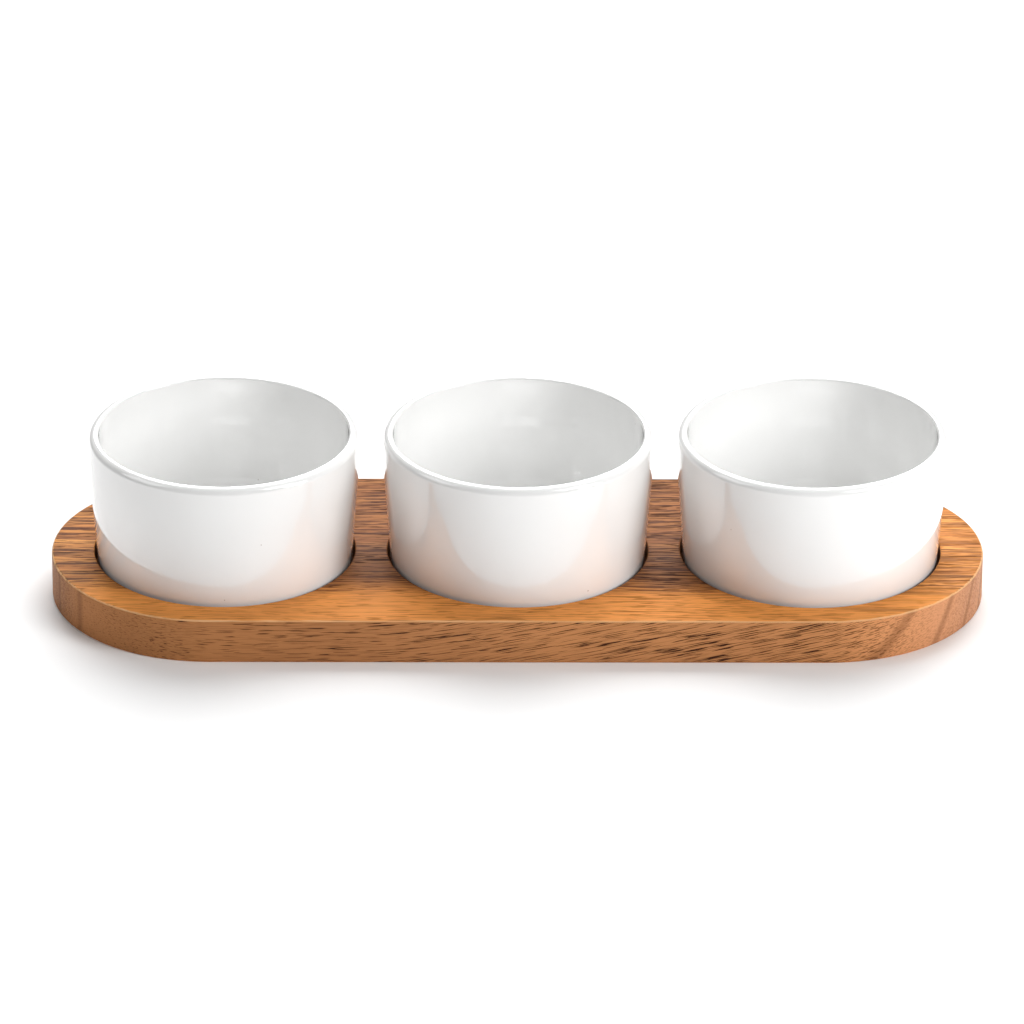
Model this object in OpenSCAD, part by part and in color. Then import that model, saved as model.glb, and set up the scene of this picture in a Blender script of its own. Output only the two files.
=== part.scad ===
// Chip and dip server: a wooden board with a row of three round recesses,
// and three glazed bowls that stand in them and lift straight out.
// Millimetres. +X runs along the board, +Z is up, and the origin is the
// centre of the board's underside.

/* [Board] */
// Length of the board over its round ends
board_l = 382; // [372:1:420]
// Width of the board, which is also the diameter of its round ends
board_w = 132; // [126:1:150]
// Thickness of the board
board_t = 19; // [16:0.5:25]
// Rounding along the board's top and bottom edges
board_edge_r = 1; // [0.5:0.1:3]

/* [Recesses] */
// Distance from the centre of one recess to the next
pitch = 120; // [117:0.5:122]
// Depth of each recess below the board's top
recess_depth = 8; // [6:0.5:10]
// Gap between a bowl and its recess at the board's top, on each side
recess_gap = 1.1; // [0.6:0.1:2]
// Radius that the cutter leaves between a recess's wall and its floor
cutter_r = 1.5; // [1:0.1:2.5]
// Chamfer that eases the mouth of each recess
mouth_chamfer = 0.5; // [0.3:0.1:1]

/* [Bowls] */
// Outer diameter of a bowl at its rim
bowl_d = 110.4; // [106:0.2:111]
// Height of a bowl
bowl_h = 61.1; // [54:0.1:66]
// Thickness of the wall at the rim
rim_t = 4.1; // [3.5:0.1:5]
// Rounding of the lip on its outside, which is softer than the inside
lip_out_r = 3; // [2:0.1:3.2]
// Slope of the wall towards the foot, in degrees
draft = 4.2; // [2:0.1:5]
// Height of the upright band below the rim
band_h = 9.4; // [6:0.2:14]
// Radius of the long curve from the band into the sloping wall
shoulder_r = 140; // [60:10:260]
// Thickness of the bowl's floor, its foot included
floor_t = 6.5; // [5.5:0.1:8]
// Radius between the inside wall and the floor
well_r = 11; // [8:0.5:14]
// Rounding of the outside edge under the wall
heel_r = 3; // [2:0.1:4]
// Width of the bare foot ring that the bowl stands on
foot_w = 3.5; // [2.5:0.1:5]
// Height of the hollow inside the foot ring
foot_h = 1.6; // [1:0.1:2]

/* [Hidden] */
$fn = 96;
arc_steps = 10;
// Height of one step down a bowl's wall
wall_step = 4;
// The lip's arcs stop this many degrees short of the next points
lip_skip = 10;
// How far a cutter runs past the surface that it cuts
overrun = 1;

end_centre_x = (board_l - board_w) / 2;
recess_floor_z = board_t - recess_depth;

rim_r = bowl_d / 2;
lip_in_r = rim_t - lip_out_r;
slope = tan(draft);
// Depths below the rim where the long curve starts and where it ends
curve_start = band_h;
curve_end = band_h + slope * shoulder_r;
// Outer radius of a bowl at a depth below its rim, on the outside and on the inside
function outer_r(depth) =
    depth < curve_start ? rim_r
    : depth < curve_end ? rim_r - pow(depth - curve_start, 2) / (2 * shoulder_r)
    : rim_r - slope * (curve_end - curve_start) / 2 - slope * (depth - curve_end);
function inner_r(depth) = outer_r(depth) - rim_t;

recess_r = outer_r(bowl_h - recess_depth) + recess_gap;

// Points on an arc of radius r about (x, z), from angle a to angle b
function arc(x, z, r, a, b) =
    [for (i = [0 : arc_steps]) let (t = a + (b - a) * i / arc_steps) [x + r * cos(t), z + r * sin(t)]];
// Points down the outside wall and down the lining, from the lip to depth stop
function wall(stop) = [for (d = [lip_out_r : wall_step : stop]) [outer_r(d), bowl_h - d]];
function lining(stop) = [for (d = [lip_in_r : wall_step : stop]) [inner_r(d), bowl_h - d]];
function reversed(list) = [for (i = [len(list) - 1 : -1 : 0]) list[i]];

// Half of the board's cross-section, from its middle plane to its rounded edge
module board_half_profile() {
    straight = board_w / 2 - board_edge_r;
    square([straight, board_t]);
    translate([0, board_edge_r]) square([board_w / 2, board_t - 2 * board_edge_r]);
    for (z = [board_edge_r, board_t - board_edge_r]) translate([straight, z]) circle(board_edge_r);
}

module board_blank() {
    rotate([90, 0, 90]) translate([0, 0, -end_centre_x]) linear_extrude(2 * end_centre_x)
        for (side = [0, 1]) mirror([side, 0]) board_half_profile();
    for (x = [-end_centre_x, end_centre_x]) translate([x, 0, 0]) rotate_extrude() board_half_profile();
}

// What one pass of the cutter takes out of the board, with its floor at z = 0
module recess_cut() {
    rotate_extrude() {
        square([recess_r - cutter_r, recess_depth + overrun]);
        translate([0, cutter_r]) square([recess_r, recess_depth + overrun - cutter_r]);
        translate([recess_r - cutter_r, cutter_r]) circle(cutter_r);
        polygon([
            [0, recess_depth - mouth_chamfer],
            [recess_r, recess_depth - mouth_chamfer],
            [recess_r + mouth_chamfer + overrun, recess_depth + overrun],
            [0, recess_depth + overrun]
        ]);
    }
}

module serving_board() {
    color("peru") difference() {
        board_blank();
        for (i = [-1 : 1]) translate([i * pitch, 0, recess_floor_z]) recess_cut();
    }
}

// Half of a bowl's cross-section, standing on z = 0, with its axis at x = 0
module bowl_half_profile() {
    heel_x = outer_r(bowl_h - heel_r) - heel_r;
    foot_inner = heel_x - foot_w;
    well_x = inner_r(bowl_h - floor_t - well_r) - well_r;
    polygon(concat(
        [[0, foot_h], [foot_inner - foot_h, foot_h], [foot_inner, 0]],
        arc(heel_x, heel_r, heel_r, -90, 0),
        reversed(wall(bowl_h - 2 * heel_r)),
        arc(rim_r - lip_out_r, bowl_h - lip_out_r, lip_out_r, lip_skip, 90),
        arc(rim_r - lip_out_r, bowl_h - lip_in_r, lip_in_r, 90 + lip_skip, 180 - lip_skip),
        lining(bowl_h - floor_t - well_r - wall_step / 2),
        arc(well_x, floor_t + well_r, well_r, 0, -90),
        [[0, floor_t]]
    ));
}

// Bowl in the recess at place -1, 0 or 1, counted from the middle of the board
module bowl(place) {
    color("white") translate([place * pitch, 0, recess_floor_z]) rotate_extrude() bowl_half_profile();
}

serving_board();
bowl(-1);  // bowl_left
bowl(0);  // bowl_centre
bowl(1);  // bowl_right
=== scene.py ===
"""Chip and dip server: an oiled acacia board with a row of white glazed dip bowls."""

import math

import bmesh
import bpy
from bpy.props import FloatProperty, IntProperty, PointerProperty, StringProperty
from mathutils import Matrix, Vector


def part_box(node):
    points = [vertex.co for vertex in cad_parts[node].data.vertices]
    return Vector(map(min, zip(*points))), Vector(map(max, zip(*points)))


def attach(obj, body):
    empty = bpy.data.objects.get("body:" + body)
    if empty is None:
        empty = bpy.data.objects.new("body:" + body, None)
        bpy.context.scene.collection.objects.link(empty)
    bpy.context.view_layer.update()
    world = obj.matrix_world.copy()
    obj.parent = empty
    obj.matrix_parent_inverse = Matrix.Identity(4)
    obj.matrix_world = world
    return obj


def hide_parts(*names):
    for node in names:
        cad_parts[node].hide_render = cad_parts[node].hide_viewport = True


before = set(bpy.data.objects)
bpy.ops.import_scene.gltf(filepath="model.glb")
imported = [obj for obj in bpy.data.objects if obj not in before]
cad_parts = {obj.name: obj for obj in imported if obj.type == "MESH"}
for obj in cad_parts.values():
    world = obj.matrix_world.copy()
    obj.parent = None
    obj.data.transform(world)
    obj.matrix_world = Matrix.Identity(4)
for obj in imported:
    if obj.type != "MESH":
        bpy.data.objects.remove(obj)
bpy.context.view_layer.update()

bl_info = {
    "name": "Chip and dip server",
    "version": (1, 0, 0),
    "blender": (4, 5, 0),
    "location": "View3D > Sidebar > Server",
    "description": "Builds an acacia board with glazed dip bowls standing in its recesses",
    "category": "Add Mesh",
}

MM = 0.001
BOWLS = {"left": "bowl_left", "centre": "bowl_centre", "right": "bowl_right"}
WELD = 1e-6
# The share of the rim's top that stays flat, so that its two roundings don't meet in one point
LIP_SPARE = 0.05
RING_SEGMENTS = 160
END_SEGMENTS = 48
BEND_SEGMENTS = 12
# The loops of the board's upper rounding that are drawn pale: partly rubbed by handling, partly a
# painted highlight where the edge catches the light
WEAR_AND_HIGHLIGHT_LOOPS = slice(2, 5)
FLOOR_HALF = 8
SENSOR = 36
CAMERA_AIM = Vector((-2.3, 11.4, 30)) * MM
# Each panel's place and size in metres
PANELS = {
    "back": ((0.1, 1.2, 1.4), 1.6),
    "key": ((1.6, -0.9, 0.7), 0.7),
    "fill": ((-1.5, -0.3, 1.1), 1.0),
    "front": ((0.0, -1.7, 1.0), 1.2),
    "side": ((1.2, -1.0, 1.3), 0.9),
}

# The wood's noise, in cells per millimetre along, across and through the board
DRIFT_CELLS = (1 / 95, 1 / 45, 1 / 45)
STREAK_CELLS = (1 / 34, 1 / 1.3, 1 / 1.2)
FINE_CELLS = (1 / 14, 1 / 0.85, 1 / 0.45)
PORE_CELLS = (1 / 10, 1 / 0.9, 1 / 0.32)
# Millimetres from one dark growth ring to the next
RING_GAP = 16.0

# The kinds of node that the materials use most
MATH = "ShaderNodeMath"
VECTOR_MATH = "ShaderNodeVectorMath"
MAP_RANGE = "ShaderNodeMapRange"
MIX = "ShaderNodeMix"
NOISE = "ShaderNodeTexNoise"

BOARD_LOW, BOARD_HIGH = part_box("serving_board")
BOWL_LOW, BOWL_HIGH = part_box("bowl_centre")
BOARD_TOP = BOARD_HIGH.z
BOWL_FLOOR = BOWL_LOW.z


def linear(code):
    """A linear RGBA colour from an sRGB hex code."""
    channels = [int(code.lstrip("#")[i:i + 2], 16) / 255 for i in (0, 2, 4)]
    return [c / 12.92 if c <= 0.04045 else ((c + 0.055) / 1.055) ** 2.4 for c in channels] + [1.0]


class BoardSettings(bpy.types.PropertyGroup):
    """Sizes and colours of the wooden board."""

    edge: FloatProperty(name="Edge", description="Rounding along the board's edges",
                        default=1.0 * MM, unit="LENGTH")
    mouth: FloatProperty(name="Mouth", description="Rounding at the mouth of each recess",
                         default=0.5 * MM, unit="LENGTH")
    cutter: FloatProperty(name="Cutter", description="Radius between a recess's wall and floor",
                          default=1.5 * MM, unit="LENGTH")
    gap: FloatProperty(name="Gap", description="Space round a bowl at the board's top",
                       default=1.1 * MM, unit="LENGTH")
    light: StringProperty(name="Light wood", description="sRGB hex", default="#DE984F")
    middle: StringProperty(name="Middle wood", description="sRGB hex", default="#B67238")
    # Browner colour for the middle of the board: painted shade between the bowls
    waist_shade: StringProperty(name="Brown middle", description="sRGB hex", default="#865029")
    dark: StringProperty(name="Dark wood", description="sRGB hex", default="#52290F")
    # Golden wood, drawn lighter as a painted highlight along the front of the top
    warm_and_lit: StringProperty(name="Warm strip", description="sRGB hex", default="#F09C4C")
    # Side colour: painted shade, darker than the top
    side: StringProperty(name="Sides", description="sRGB hex", default="#B57F57")
    # Painted shade on the left part of the sides, away from the light at the right
    left_side_shade: StringProperty(name="Left part of the sides", description="sRGB hex", default="#9E6D4B")
    # Painted highlight for the right end of the sides, where the light from the right falls
    lit_end_colour: StringProperty(name="Pale end", description="sRGB hex", default="#B28670")
    # Pale edge colour: partly wear, partly a painted highlight on the eased edge
    worn: StringProperty(name="Worn edge", description="sRGB hex", default="#EBC293")
    pore: StringProperty(name="Pores", description="sRGB hex", default="#3A2012")


class BowlSettings(bpy.types.PropertyGroup):
    """Sizes and colours of the bowls."""

    wall: FloatProperty(name="Wall", description="Thickness at the rim", default=4.1 * MM,
                        unit="LENGTH")
    lip: FloatProperty(name="Lip", description="Rounding of the rim on its outside", default=3 * MM,
                       unit="LENGTH")
    bend: FloatProperty(name="Bend",
                        description="Depth below the rim where the wall starts to slope",
                        default=14.5 * MM, unit="LENGTH")
    bend_radius: FloatProperty(name="Bend radius", description="Radius of that bend",
                               default=140 * MM, unit="LENGTH")
    draft: FloatProperty(name="Draft", description="Slope of the wall", default=math.radians(4.2),
                         subtype="ANGLE")
    floor: FloatProperty(name="Floor", description="Thickness of the floor", default=6.5 * MM,
                         unit="LENGTH")
    well: FloatProperty(name="Well", description="Radius between wall and floor inside",
                        default=11 * MM, unit="LENGTH")
    heel: FloatProperty(name="Heel", description="Rounding outside, above the foot", default=3 * MM,
                        unit="LENGTH")
    foot_width: FloatProperty(name="Foot width", description="Width of the foot ring",
                              default=3.5 * MM, unit="LENGTH")
    foot_height: FloatProperty(name="Foot height",
                               description="Height of the hollow inside the ring", default=1.6 * MM,
                               unit="LENGTH")
    bare: FloatProperty(name="Bare clay", description="Height of unglazed clay above the foot",
                        default=0.9 * MM, unit="LENGTH")
    steps: IntProperty(name="Steps", description="Segments round the bowl", default=160, min=24,
                       max=256)
    glaze: StringProperty(name="Glaze", description="sRGB hex", default="#F0F0EF")
    thick: StringProperty(name="Thick glaze", description="sRGB hex", default="#F2F2F1")
    iron: StringProperty(name="Iron specks", description="sRGB hex", default="#7A5A45")
    clay: StringProperty(name="Clay", description="sRGB hex", default="#D9CFBD")
    grit: StringProperty(name="Grit", description="sRGB hex", default="#B9AC97")


class StageSettings(bpy.types.PropertyGroup):
    """The floor, the lights and the camera."""

    lens: FloatProperty(name="Lens", description="Focal length in mm on a 36 mm sensor",
                        default=284)
    height: FloatProperty(name="Height", description="Angle of the view above the floor",
                          default=0.4559, subtype="ANGLE")
    turn: FloatProperty(name="Turn", description="Turn of the view towards +X", default=0.0089,
                        subtype="ANGLE")
    roll: FloatProperty(name="Roll", description="Roll of the camera", default=0.0056,
                        subtype="ANGLE")
    distance: FloatProperty(name="Distance", description="From the camera to its aim",
                            default=3.3198, unit="LENGTH")
    sky: FloatProperty(name="Sky", description="Strength of the even light from all round",
                       default=0.1)
    back: FloatProperty(name="Back", description="Power of the wide panel above and behind",
                        default=52)
    side: FloatProperty(name="Side", description="Power of the high panel at the front right",
                        default=9.5)
    key: FloatProperty(name="Key", description="Power of the low panel at the front right",
                       default=20)
    fill: FloatProperty(name="Fill", description="Power of the panel at the left", default=6.1)
    front: FloatProperty(name="Front", description="Power of the front panel", default=1)
    paper: StringProperty(name="Paper", description="sRGB hex", default="#F6F6F6")


def add_node(tree, kind, inputs=None, **settings):
    """Adds a node. An input given a node or a socket is linked, and any other value is set."""
    made = tree.nodes.new(kind)
    for name, value in settings.items():
        setattr(made, name, value)
    for key, value in (inputs or {}).items():
        if isinstance(value, bpy.types.Node):
            value = next(socket for socket in value.outputs if socket.enabled)
        if isinstance(value, bpy.types.NodeSocket):
            tree.links.new(value, made.inputs[key])
        else:
            made.inputs[key].default_value = value
    return made


def new_material(name):
    """An empty node material and its tree."""
    material = bpy.data.materials.new(name)
    material.use_nodes = True
    material.node_tree.nodes.clear()
    return material, material.node_tree


def oiled_acacia(wood):
    """Oiled acacia, planed and sanded: long dark figure, short open pores and a satin sheen."""
    material, tree = new_material("oiled_acacia")
    coordinates = add_node(tree, "ShaderNodeTexCoord")
    millimetres = add_node(tree, VECTOR_MATH, {0: coordinates.outputs["Object"], "Scale": 1000},
                           operation="SCALE")
    x, y, z = add_node(tree, "ShaderNodeSeparateXYZ", {0: millimetres}).outputs

    # "upright" is 1 on the sides, and "across" is 1 where a side cuts across the fibres.
    normal_x, _, normal_z = add_node(tree, "ShaderNodeSeparateXYZ",
                                     {0: coordinates.outputs["Normal"]}).outputs
    upright = add_node(tree, MATH, {0: normal_z}, operation="ABSOLUTE")
    upright = add_node(tree, MAP_RANGE, {"Value": upright, "From Min": 0.3, "From Max": 0.8,
                                         "To Min": 1.0, "To Max": 0.0})
    across = add_node(tree, MATH, {0: normal_x}, operation="ABSOLUTE")
    across = add_node(tree, MAP_RANGE, {"Value": across, "From Min": 0.2, "From Max": 0.9})

    # The fibres wander by a few millimetres. On the sides they run level at the left and climb
    # towards the right end, by 1 in 5.
    climb = add_node(tree, MATH, {0: x, 1: 0.21, 2: 8.0}, operation="MULTIPLY_ADD")
    climb = add_node(tree, MATH, {0: climb, 1: 0.0, 2: 12.0}, operation="SMOOTH_MAX")
    climb = add_node(tree, MATH, {0: climb, 1: upright}, operation="MULTIPLY")
    level = add_node(tree, MATH, {0: z, 1: climb}, operation="SUBTRACT")
    straight = add_node(tree, "ShaderNodeCombineXYZ", {0: x, 1: y, 2: level})
    slow = add_node(tree, VECTOR_MATH, {0: millimetres, 1: DRIFT_CELLS}, operation="MULTIPLY")
    wander = add_node(tree, NOISE, {"Vector": slow, "Scale": 1.0, "Detail": 1.5})
    drift = add_node(tree, VECTOR_MATH,
                     {0: wander.outputs["Color"], 1: (0, 14, 10), 2: (0, -7, -5)},
                     operation="MULTIPLY_ADD")
    fibre = add_node(tree, VECTOR_MATH, {0: drift, 1: straight}, operation="ADD")

    # Drift out of a surface's own plane would cut the strokes short, so only the drift within
    # that plane moves them.
    level_top = add_node(tree, MATH, {0: 1.0, 1: upright}, operation="SUBTRACT")
    plane = add_node(tree, "ShaderNodeCombineXYZ", {0: 0.0, 1: level_top, 2: upright})
    plane_drift = add_node(tree, VECTOR_MATH, {0: drift, 1: plane}, operation="MULTIPLY")
    wavy = add_node(tree, VECTOR_MATH, {0: plane_drift, 1: straight}, operation="ADD")
    calm = add_node(tree, VECTOR_MATH, {0: plane_drift, 1: (0.2, 0.2, 0.2), 2: straight},
                    operation="MULTIPLY_ADD")

    # Growth rings are upright at the left end and lean back towards the right one.
    lean = add_node(tree, MATH, {0: x, 1: 0.0013, 2: 0.234}, operation="MULTIPLY_ADD")
    lean = add_node(tree, MATH, {0: lean, 1: z}, operation="MULTIPLY")
    _, fibre_y, _ = add_node(tree, "ShaderNodeSeparateXYZ", {0: fibre}).outputs
    ring_place = add_node(tree, MATH, {0: fibre_y, 1: lean}, operation="SUBTRACT")
    ring_place = add_node(tree, MATH, {0: x, 1: 0.034, 2: ring_place}, operation="MULTIPLY_ADD")
    ring_scale = add_node(tree, MATH, {0: ring_place, 1: 7.0}, operation="DIVIDE")
    ring = add_node(tree, NOISE, {"W": ring_scale, "Scale": 1.0, "Detail": 3.0, "Roughness": 0.6},
                    noise_dimensions="1D")
    _, calm_y, _ = add_node(tree, "ShaderNodeSeparateXYZ", {0: calm}).outputs
    heart = add_node(tree, MATH, {0: calm_y, 1: lean}, operation="SUBTRACT")
    heart = add_node(tree, MATH, {0: x, 1: 0.076, 2: heart}, operation="MULTIPLY_ADD")
    heart = add_node(tree, MATH, {0: heart, 1: 52.7}, operation="ADD")
    heart = add_node(tree, MATH, {0: heart, 1: RING_GAP / 2}, operation="PINGPONG")
    ends = add_node(tree, MATH, {0: x, 1: 22.0}, operation="ADD")
    ends = add_node(tree, MATH, {0: ends}, operation="ABSOLUTE")
    ends = add_node(tree, MAP_RANGE, {"Value": ends, "From Min": 147.0, "From Max": 158.0,
                                      "To Min": 0.0, "To Max": 0.4})
    heart = add_node(tree, MAP_RANGE, {"Value": heart, "From Min": 0.2, "From Max": 2.5,
                                       "To Min": ends, "To Max": 0.0},
                     interpolation_type="SMOOTHSTEP")

    # Streaks up to 1 mm wide and 1 to 3 cm long, and finer and shorter ones between them.
    streak_scale = add_node(tree, VECTOR_MATH, {0: wavy, 1: STREAK_CELLS}, operation="MULTIPLY")
    streaks = add_node(tree, NOISE, {"Vector": streak_scale, "Scale": 1.0, "Detail": 4.0,
                                     "Roughness": 0.62})
    fine_scale = add_node(tree, VECTOR_MATH, {0: calm, 1: FINE_CELLS}, operation="MULTIPLY")
    fine = add_node(tree, NOISE, {"Vector": fine_scale, "Scale": 1.0, "Detail": 2.0})

    # The sides are drawn darker and browner than the top, painted shade for the lower light they
    # get. Their right end is drawn paler, a painted highlight where the light from the right falls
    # on it.
    right_end = add_node(tree, MAP_RANGE, {"Value": x, "From Min": 120.0, "From Max": 170.0})
    lit_right_end = add_node(tree, MATH, {0: upright, 1: right_end}, operation="MULTIPLY")
    lit_right_end = add_node(tree, MATH, {0: lit_right_end, 1: 0.6}, operation="MULTIPLY")
    side = add_node(tree, MATH, {0: upright, 1: 0.75}, operation="MULTIPLY")
    side = add_node(tree, MATH, {0: side, 1: lit_right_end}, operation="SUBTRACT", use_clamp=True)

    # The youngest wood, along the front of the top, is golden and calm, and its colour is drawn
    # lighter than the wood alone: a painted highlight for the light along the front and between the
    # bowls. The middle is drawn browner, painted shade between the bowls.
    wobble = add_node(tree, MATH, {0: streaks, 1: 9.0, 2: ring_place}, operation="MULTIPLY_ADD")
    golden = add_node(tree, MAP_RANGE, {"Value": wobble, "From Min": -46.0, "From Max": -31.0,
                                        "To Min": 0.9, "To Max": 0.0},
                      interpolation_type="SMOOTHSTEP")
    streak_depth = add_node(tree, MATH, {0: golden, 1: -0.88, 2: 0.9}, operation="MULTIPLY_ADD")
    streak_depth = add_node(tree, MATH, {0: upright, 1: -0.72, 2: streak_depth},
                            operation="MULTIPLY_ADD", use_clamp=True)
    streak_depth = add_node(tree, MATH, {0: right_end, 1: -0.35, 2: streak_depth},
                            operation="MULTIPLY_ADD", use_clamp=True)
    golden = add_node(tree, MATH, {0: right_end, 1: 0.3, 2: golden}, operation="MULTIPLY_ADD",
                      use_clamp=True)
    golden_and_lit = add_node(tree, MAP_RANGE, {"Value": wander, "From Min": 0.4, "From Max": 0.6,
                                      "To Min": 0.8, "To Max": 1.0})
    golden_and_lit = add_node(tree, MATH, {0: golden, 1: golden_and_lit}, operation="MULTIPLY")
    ring_tone = add_node(tree, MAP_RANGE, {"Value": ring, "From Min": 0.36, "From Max": 0.62})
    colour = add_node(tree, MIX, {0: ring_tone, 6: linear(wood.light), 7: linear(wood.middle)},
                      data_type="RGBA")
    # Painted shade: the middle of the board, between the bowls, is drawn browner
    off_centre = add_node(tree, MATH, {0: x}, operation="ABSOLUTE")
    waist_shade = add_node(tree, MAP_RANGE, {"Value": off_centre, "From Min": 95.0, "From Max": 135.0,
                                       "To Min": 0.68, "To Max": 0.0})
    colour = add_node(tree, MIX, {0: waist_shade, 6: colour, 7: linear(wood.waist_shade)}, data_type="RGBA")
    # Golden wood with a painted highlight along the front of the top
    colour = add_node(tree, MIX, {0: golden_and_lit, 6: colour, 7: linear(wood.warm_and_lit)}, data_type="RGBA")

    # Painted shade: the left part of the sides, away from the light at the right, is drawn darker
    left_side_shade = add_node(tree, MAP_RANGE, {"Value": x, "From Min": -70.0, "From Max": 0.0})
    shaded_side_colour = add_node(tree, MIX, {0: left_side_shade, 6: linear(wood.left_side_shade), 7: linear(wood.side)},
                           data_type="RGBA")
    # Painted shade on the sides
    colour = add_node(tree, MIX, {0: side, 6: colour, 7: shaded_side_colour}, data_type="RGBA")
    # Painted highlight on the right end of the sides
    colour = add_node(tree, MIX, {0: lit_right_end, 6: colour, 7: linear(wood.lit_end_colour)}, data_type="RGBA")

    streak_tone = add_node(tree, MAP_RANGE, {"Value": streaks, "From Min": 0.52, "From Max": 0.57,
                                             "To Min": 0.0, "To Max": streak_depth},
                           interpolation_type="SMOOTHSTEP")
    colour = add_node(tree, MIX, {0: streak_tone, 6: colour, 7: linear(wood.dark)},
                      data_type="RGBA")
    colour = add_node(tree, MIX, {0: heart, 6: colour, 7: linear(wood.dark)}, data_type="RGBA")
    fine_depth = add_node(tree, MATH, {0: across, 1: -0.1, 2: 0.55}, operation="MULTIPLY_ADD")
    fine_depth = add_node(tree, MATH, {0: golden, 1: -0.4, 2: fine_depth}, operation="MULTIPLY_ADD",
                          use_clamp=True)
    fine_tone = add_node(tree, MAP_RANGE, {"Value": fine, "From Min": 0.5, "From Max": 0.58,
                                           "To Min": 0.0, "To Max": fine_depth})
    colour = add_node(tree, MIX, {0: fine_tone, 6: colour, 7: linear(wood.dark)}, data_type="RGBA")

    # Open pores, drawn up to 0.5 mm wide and about 5 mm long, a little coarser than the real ones.
    # They are closer together towards the right, few in the golden wood of the top, and only dots
    # where a side cuts across the fibres.
    pore_scale = add_node(tree, VECTOR_MATH, {0: calm, 1: PORE_CELLS}, operation="MULTIPLY")
    pores = add_node(tree, NOISE, {"Vector": pore_scale, "Scale": 1.0, "Detail": 1.0,
                                   "Roughness": 0.4})
    pores = add_node(tree, MATH, {0: x, 1: 0.0003, 2: pores}, operation="MULTIPLY_ADD")
    pore = add_node(tree, MAP_RANGE, {"Value": pores, "From Min": 0.58, "From Max": 0.65,
                                      "To Min": 0.0, "To Max": 1.0},
                    interpolation_type="SMOOTHSTEP")
    pore_depth = add_node(tree, MATH, {0: golden, 1: -0.5}, operation="MULTIPLY")
    pore_depth = add_node(tree, MATH, {0: pore_depth, 1: 0.85}, operation="ADD", use_clamp=True)
    pore_depth = add_node(tree, MATH, {0: pore_depth, 1: upright}, operation="MAXIMUM")
    dots = add_node(tree, MATH, {0: across, 1: -0.75, 2: 1.0}, operation="MULTIPLY_ADD")
    pore_depth = add_node(tree, MATH, {0: pore_depth, 1: dots}, operation="MULTIPLY")
    smooth_end = add_node(tree, MATH, {0: right_end, 1: -0.6, 2: 1.0}, operation="MULTIPLY_ADD")
    pore_depth = add_node(tree, MATH, {0: pore_depth, 1: smooth_end}, operation="MULTIPLY")
    pore_tone = add_node(tree, MATH, {0: pore, 1: pore_depth}, operation="MULTIPLY")
    colour = add_node(tree, MIX, {0: pore_tone, 6: colour, 7: linear(wood.pore)}, data_type="RGBA")

    # The eased edge is drawn pale, partly wear and partly painted highlight. The recess walls are
    # drawn nearly black, painted shade.
    worn = add_node(tree, "ShaderNodeAttribute", attribute_name="worn").outputs["Fac"]
    routed = add_node(tree, "ShaderNodeAttribute", attribute_name="routed").outputs["Fac"]
    wear_and_highlight_tone = add_node(tree, MAP_RANGE, {"Value": streaks, "From Min": 0.4, "From Max": 0.58,
                                           "To Min": 0.75, "To Max": 0.25})
    wear_and_highlight_tone = add_node(tree, MATH, {0: wear_and_highlight_tone, 1: worn}, operation="MULTIPLY")
    colour = add_node(tree, MIX, {0: wear_and_highlight_tone, 6: colour, 7: linear(wood.worn)}, data_type="RGBA")
    # Painted shade in the recesses round the bowls
    recess_shade_tone = add_node(tree, MATH, {0: routed, 1: 0.7}, operation="MULTIPLY")
    colour = add_node(tree, MIX, {0: recess_shade_tone, 6: colour, 7: linear(wood.dark)},
                      data_type="RGBA")

    roughness = add_node(tree, MATH, {0: fine, 1: 0.14, 2: 0.47}, operation="MULTIPLY_ADD")
    roughness = add_node(tree, MATH, {0: pore, 1: 0.25, 2: roughness}, operation="MULTIPLY_ADD")
    height = add_node(tree, MATH, {0: fine, 1: 0.25}, operation="MULTIPLY")
    height = add_node(tree, MATH, {0: height, 1: pore}, operation="SUBTRACT")
    bump = add_node(tree, "ShaderNodeBump", {"Height": height, "Strength": 0.2,
                                             "Distance": 0.06 * MM})
    shader = add_node(tree, "ShaderNodeBsdfPrincipled", {"Base Color": colour,
                                                         "Roughness": roughness, "Normal": bump,
                                                         "IOR": 1.45, "Specular IOR Level": 0.14})
    add_node(tree, "ShaderNodeOutputMaterial", {0: shader})
    return material


def fired_glaze(bowl):
    """White tableware glaze, dipped and fired: mirror gloss, faint ripple, rare iron specks."""
    material, tree = new_material("fired_white_glaze")
    coordinates = add_node(tree, "ShaderNodeTexCoord")
    millimetres = add_node(tree, VECTOR_MATH, {0: coordinates.outputs["Object"], "Scale": 1000},
                           operation="SCALE")
    cloud = add_node(tree, NOISE, {"Vector": millimetres, "Scale": 1 / 30, "Detail": 2.0})
    ripple = add_node(tree, NOISE, {"Vector": millimetres, "Scale": 1 / 14, "Detail": 1.0})
    cells = add_node(tree, "ShaderNodeTexVoronoi", {"Vector": millimetres, "Scale": 1 / 16})
    speck = add_node(tree, MAP_RANGE, {"Value": cells, "From Min": 0.012, "From Max": 0.022,
                                       "To Min": 0.6, "To Max": 0.0})
    colour = add_node(tree, MIX, {0: cloud, 6: linear(bowl.glaze), 7: linear(bowl.thick)},
                      data_type="RGBA")
    colour = add_node(tree, MIX, {0: speck, 6: colour, 7: linear(bowl.iron)}, data_type="RGBA")
    bump = add_node(tree, "ShaderNodeBump", {"Height": ripple, "Strength": 0.2,
                                             "Distance": 0.06 * MM})
    # The clear top of the glaze mirrors the room on its own, over the white that shows through it.
    shader = add_node(tree, "ShaderNodeBsdfPrincipled", {"Base Color": colour, "Roughness": 0.03,
                                                         "IOR": 1.52, "Coat Weight": 1.0,
                                                         "Coat Roughness": 0.015, "Coat IOR": 1.6,
                                                         "Normal": bump})
    add_node(tree, "ShaderNodeOutputMaterial", {0: shader})
    return material


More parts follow.
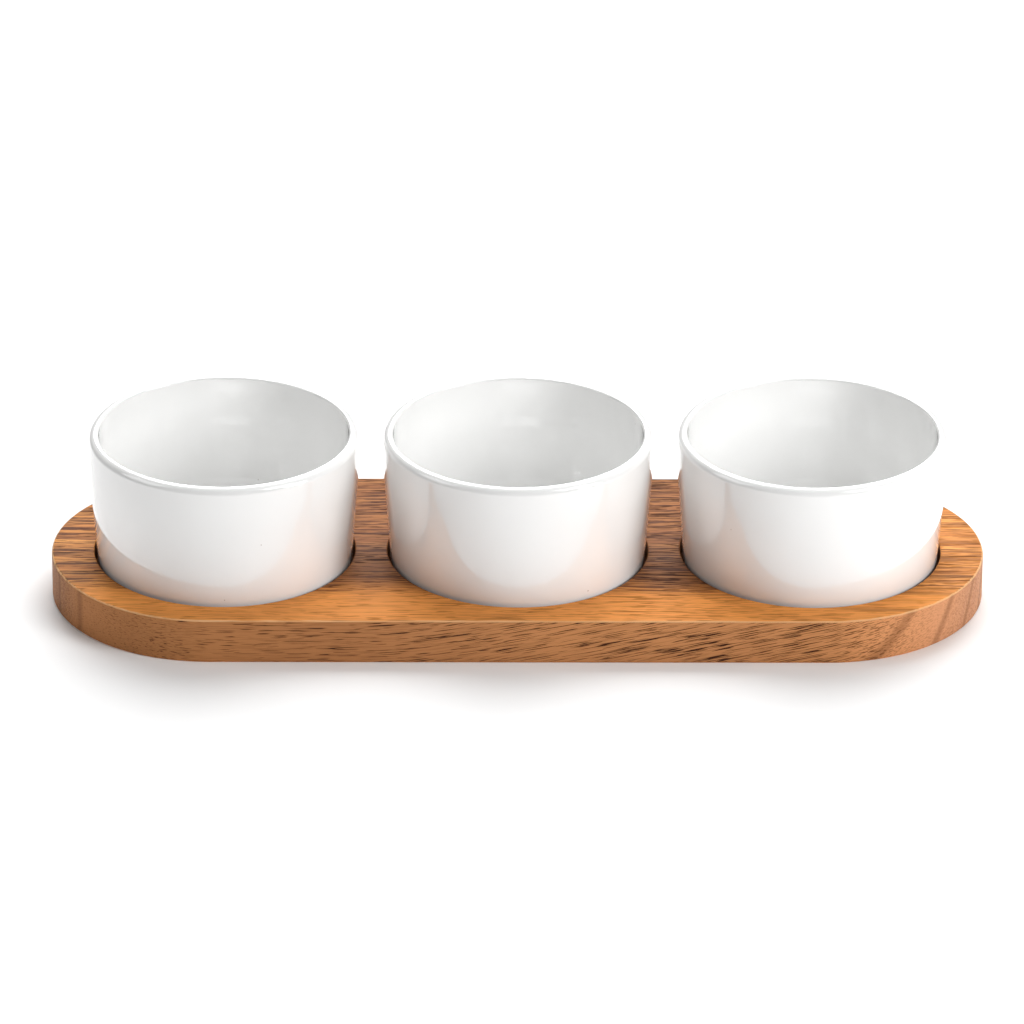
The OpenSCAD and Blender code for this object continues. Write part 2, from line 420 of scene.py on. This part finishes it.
def bare_stoneware(bowl):
    """Unglazed fired stoneware, wiped clean before firing: matt, off-white and slightly sandy."""
    material, tree = new_material("bare_stoneware")
    coordinates = add_node(tree, "ShaderNodeTexCoord")
    grit = add_node(tree, NOISE, {"Vector": coordinates.outputs["Object"], "Scale": 1 / (0.5 * MM),
                                  "Detail": 3.0})
    colour = add_node(tree, MIX, {0: grit, 6: linear(bowl.clay), 7: linear(bowl.grit)},
                      data_type="RGBA")
    bump = add_node(tree, "ShaderNodeBump", {"Height": grit, "Strength": 0.6, "Distance": 0.1 * MM})
    shader = add_node(tree, "ShaderNodeBsdfPrincipled", {"Base Color": colour, "Roughness": 0.82,
                                                         "Normal": bump})
    add_node(tree, "ShaderNodeOutputMaterial", {0: shader})
    return material


def finish_piece(name, mesh, materials, body, node):
    """Makes a smooth object of a bmesh with its materials, ties it to its body and hides the CAD
    node that it stands in for.
    """
    bmesh.ops.remove_doubles(mesh, verts=mesh.verts[:], dist=WELD)
    bmesh.ops.recalc_face_normals(mesh, faces=mesh.faces[:])
    for face in mesh.faces:
        face.smooth = True
    data = bpy.data.meshes.new(name)
    mesh.to_mesh(data)
    mesh.free()
    for material in materials:
        data.materials.append(material)
    piece = bpy.data.objects.new(name, data)
    bpy.context.scene.collection.objects.link(piece)
    # The big flat faces keep their own normals, so the light doesn't smear at their edges.
    piece.modifiers.new("flat_faces_first", "WEIGHTED_NORMAL").keep_sharp = True
    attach(piece, body)
    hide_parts(node)
    return piece


def new_edges(mesh, before):
    """The edges that were not there before."""
    return [edge for edge in mesh.edges if edge not in before]


def stadium(mesh, length, width, height):
    """Edges of a level outline with straight sides and full round ends."""
    before = set(mesh.edges)
    half_l, half_w = length / 2, width / 2
    corners = [mesh.verts.new((sx * half_l, sy * half_w, height))
               for sx, sy in ((-1, -1), (1, -1), (1, 1), (-1, 1))]
    for i, corner in enumerate(corners):
        mesh.edges.new((corner, corners[(i + 1) % len(corners)]))
    bmesh.ops.bevel(mesh, geom=corners, offset=half_w * (1 - WELD), segments=END_SEGMENTS,
                    affect="VERTICES", profile=0.5, material=-1, clamp_overlap=False)
    outline = {v for e in new_edges(mesh, before) for v in e.verts}
    bmesh.ops.remove_doubles(mesh, verts=list(outline), dist=WELD)
    return new_edges(mesh, before)


def ring(mesh, centre_x, radius, height):
    """Edges of a level circle."""
    made = bmesh.ops.create_circle(mesh, cap_ends=False, radius=radius, segments=RING_SEGMENTS,
                                   matrix=Matrix.Translation((centre_x, 0, height)))
    return list({edge for vert in made["verts"] for edge in vert.link_edges})


def quarter(radius, steps=6):
    """(inset, drop) pairs round a quarter circle, from a level face to an upright one."""
    turns = [math.pi / 2 * i / steps for i in range(steps + 1)]
    return [(radius * (1 - math.sin(a)), radius * (1 - math.cos(a))) for a in turns]


def bridge(mesh, loops):
    """Joins each loop of edges to the next one with faces."""
    for first, second in zip(loops, loops[1:]):
        bmesh.ops.bridge_loops(mesh, edges=first + second)


def mark(loops, layer):
    """Sets a vertex value to 1 along these loops of edges."""
    for loop in loops:
        for edge in loop:
            for vert in edge.verts:
                vert[layer] = 1.0


def bowl_reach(bowl, height):
    """Outer radius of a bowl at a height above its foot, below the bend in its wall."""
    rim = (BOWL_HIGH.x - BOWL_LOW.x) / 2
    total = BOWL_HIGH.z - BOWL_LOW.z
    return rim - math.tan(bowl.draft) * max(total - height - bowl.bend, 0)


class SERVER_OT_board(bpy.types.Operator):
    """Build the acacia board with its round recesses"""

    bl_idname = "server.board"
    bl_label = "Acacia board"

    def execute(self, context):
        wood, bowl = context.scene.server_board, context.scene.server_bowls
        length, width = BOARD_HIGH.x - BOARD_LOW.x, BOARD_HIGH.y - BOARD_LOW.y
        mesh = bmesh.new()

        upper = [stadium(mesh, length - 2 * inset, width - 2 * inset, BOARD_TOP - drop)
                 for inset, drop in quarter(wood.edge)]
        lower = [stadium(mesh, length - 2 * inset, width - 2 * inset, drop)
                 for inset, drop in reversed(quarter(wood.edge))]
        bridge(mesh, upper + lower)
        bmesh.ops.edgeloop_fill(mesh, edges=lower[-1])

        worn = mesh.verts.layers.float.new("worn")
        # A vertex value for the painted shade in the recesses
        routed = mesh.verts.layers.float.new("routed")
        # These loops get the pale edge colour: wear and painted highlight
        mark(upper[WEAR_AND_HIGHLIGHT_LOOPS], worn)

        depth = BOARD_TOP - BOWL_FLOOR
        recess = bowl_reach(bowl, depth) + wood.gap
        mouths = []
        for node in BOWLS.values():
            low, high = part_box(node)
            centre = (low.x + high.x) / 2
            mouth = [ring(mesh, centre, recess + wood.mouth - inset, BOARD_TOP - drop)
                     for inset, drop in [(wood.mouth - a, b) for a, b in quarter(wood.mouth)]]
            foot = [ring(mesh, centre, recess - inset, BOWL_FLOOR + drop)
                    for inset, drop in reversed(quarter(wood.cutter))]
            bridge(mesh, mouth + foot)
            # Painted shade: the recess walls and the lower edge of each mouth are drawn dark
            mark([mouth[-1]] + foot[:-1], routed)
            bmesh.ops.edgeloop_fill(mesh, edges=foot[-1])
            mouths += mouth[0]
        bmesh.ops.triangle_fill(mesh, use_beauty=True, use_dissolve=False, edges=upper[0] + mouths,
                                normal=(0, 0, 1))
        if any(not edge.is_manifold for edge in mesh.edges):
            raise RuntimeError("the board's mesh isn't closed")
        finish_piece("acacia_board", mesh, [oiled_acacia(wood)], "board", "serving_board")
        return {"FINISHED"}


def bowl_profile(bowl):
    """(radius, height above the foot, rounding) at each corner of a bowl's section."""
    rim = (BOWL_HIGH.x - BOWL_LOW.x) / 2
    total = BOWL_HIGH.z - BOWL_LOW.z
    lip_in = (bowl.wall - bowl.lip) * (1 - LIP_SPARE)
    heel = bowl_reach(bowl, 0)
    ring_in = heel - bowl.heel - bowl.foot_width
    return [
        (0, bowl.foot_height, 0),
        (ring_in - bowl.foot_height, bowl.foot_height, 0),
        (ring_in, 0, 0),
        (heel, 0, bowl.heel),
        (rim, total - bowl.bend, bowl.bend_radius),
        (rim, total, bowl.lip),
        (rim - bowl.wall, total, lip_in),
        (rim - bowl.wall, total - bowl.bend, bowl.bend_radius),
        (bowl_reach(bowl, bowl.floor) - bowl.wall, bowl.floor, bowl.well),
        (0, bowl.floor, 0),
    ]


class SERVER_OT_bowls(bpy.types.Operator):
    """Build the glazed bowls, each with a bare foot ring"""

    bl_idname = "server.bowls"
    bl_label = "Glazed bowls"

    def execute(self, context):
        bowl = context.scene.server_bowls
        glaze, clay = fired_glaze(bowl), bare_stoneware(bowl)
        corners = bowl_profile(bowl)
        for place, node in BOWLS.items():
            low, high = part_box(node)
            centre = (low.x + high.x) / 2
            mesh = bmesh.new()
            points = [mesh.verts.new((r, 0, h)) for r, h, _ in corners]
            for a, b in zip(points, points[1:]):
                mesh.edges.new((a, b))
            places = [Vector((r, h)) for r, h, _ in corners]
            for i, (_, _, radius) in enumerate(corners):
                if radius:
                    turn = (places[i] - places[i - 1]).angle(places[i + 1] - places[i])
                    bmesh.ops.bevel(mesh, geom=[points[i]], offset=radius * math.tan(turn / 2),
                                    segments=BEND_SEGMENTS, affect="VERTICES", profile=0.5,
                                    material=-1, clamp_overlap=False)
            bmesh.ops.spin(mesh, geom=mesh.verts[:] + mesh.edges[:], cent=(0, 0, 0), axis=(0, 0, 1),
                           dvec=(0, 0, 0), angle=2 * math.pi, steps=bowl.steps, use_merge=True,
                           use_duplicate=False)
            bmesh.ops.remove_doubles(mesh, verts=mesh.verts[:], dist=WELD)
            bmesh.ops.bisect_plane(mesh, geom=mesh.verts[:] + mesh.edges[:] + mesh.faces[:],
                                   dist=WELD, plane_co=(0, 0, bowl.bare), plane_no=(0, 0, 1))
            for face in mesh.faces:
                if face.calc_center_median().z < bowl.bare:
                    face.material_index = 1
            bmesh.ops.translate(mesh, verts=mesh.verts[:], vec=(centre, 0, BOWL_FLOOR))
            if any(not edge.is_manifold for edge in mesh.edges):
                raise RuntimeError("the bowl's mesh isn't closed")
            finish_piece("glazed_" + node, mesh, [glaze, clay], place + "_bowl", node)
        return {"FINISHED"}


def soft_light(name, place, size, power):
    """A square panel of light that faces the middle of the board's top."""
    data = bpy.data.lights.new(name, "AREA")
    data.shape, data.size, data.energy = "SQUARE", size, power
    panel = bpy.data.objects.new(name, data)
    panel.location = place
    sight = Vector((0, 0, BOARD_TOP)) - Vector(place)
    panel.rotation_euler = sight.to_track_quat("-Z", "Y").to_euler()
    bpy.context.scene.collection.objects.link(panel)


class SERVER_OT_stage(bpy.types.Operator):
    """Set up the pale floor, the soft lights and the camera"""

    bl_idname = "server.stage"
    bl_label = "Stage"

    def execute(self, context):
        stage, scene = context.scene.server_stage, context.scene
        mesh = bmesh.new()
        bmesh.ops.create_grid(mesh, x_segments=1, y_segments=1, size=FLOOR_HALF)
        data = bpy.data.meshes.new("floor")
        mesh.to_mesh(data)
        mesh.free()
        material, tree = new_material("white_paper_sweep")
        shader = add_node(tree, "ShaderNodeBsdfPrincipled", {"Base Color": linear(stage.paper),
                                                             "Roughness": 0.9,
                                                             "Specular IOR Level": 0.0})
        add_node(tree, "ShaderNodeOutputMaterial", {0: shader})
        data.materials.append(material)
        floor = bpy.data.objects.new("floor", data)
        scene.collection.objects.link(floor)

        world = bpy.data.worlds.new("studio")
        world.use_nodes = True
        background = world.node_tree.nodes["Background"]
        background.inputs["Color"].default_value = linear("#FFFFFF")
        background.inputs["Strength"].default_value = stage.sky
        scene.world = world
        for name, (place, size) in PANELS.items():
            soft_light(name, place, size, getattr(stage, name))

        sight = Vector((math.sin(stage.turn) * math.cos(stage.height),
                        math.cos(stage.turn) * math.cos(stage.height), -math.sin(stage.height)))
        camera_data = bpy.data.cameras.new("camera")
        camera_data.lens, camera_data.sensor_width = stage.lens, SENSOR
        camera = bpy.data.objects.new("camera", camera_data)
        camera.location = CAMERA_AIM - sight * stage.distance
        level = sight.to_track_quat("-Z", "Y")
        camera.rotation_mode = "QUATERNION"
        camera.rotation_quaternion = level @ Matrix.Rotation(stage.roll, 3, "Z").to_quaternion()
        scene.collection.objects.link(camera)
        scene.camera = camera
        scene.view_settings.view_transform = "Standard"
        return {"FINISHED"}


class SERVER_PT_panel(bpy.types.Panel):
    """Buttons for the server's pieces"""

    bl_label = "Chip and dip server"
    bl_idname = "SERVER_PT_panel"
    bl_space_type = "VIEW_3D"
    bl_region_type = "UI"
    bl_category = "Server"

    def draw(self, context):
        for operator in OPERATORS:
            self.layout.operator(operator.bl_idname)


SETTINGS = {"server_board": BoardSettings, "server_bowls": BowlSettings,
            "server_stage": StageSettings}
OPERATORS = [SERVER_OT_stage, SERVER_OT_board, SERVER_OT_bowls]


def register():
    for name, group in SETTINGS.items():
        bpy.utils.register_class(group)
        setattr(bpy.types.Scene, name, PointerProperty(type=group))
    for item in OPERATORS + [SERVER_PT_panel]:
        bpy.utils.register_class(item)


def unregister():
    for item in [SERVER_PT_panel] + OPERATORS[::-1]:
        bpy.utils.unregister_class(item)
    for name, group in SETTINGS.items():
        delattr(bpy.types.Scene, name)
        bpy.utils.unregister_class(group)


def main():
    register()
    bpy.ops.server.stage()
    bpy.ops.server.board()
    bpy.ops.server.bowls()


if __name__ == "__main__":
    main()
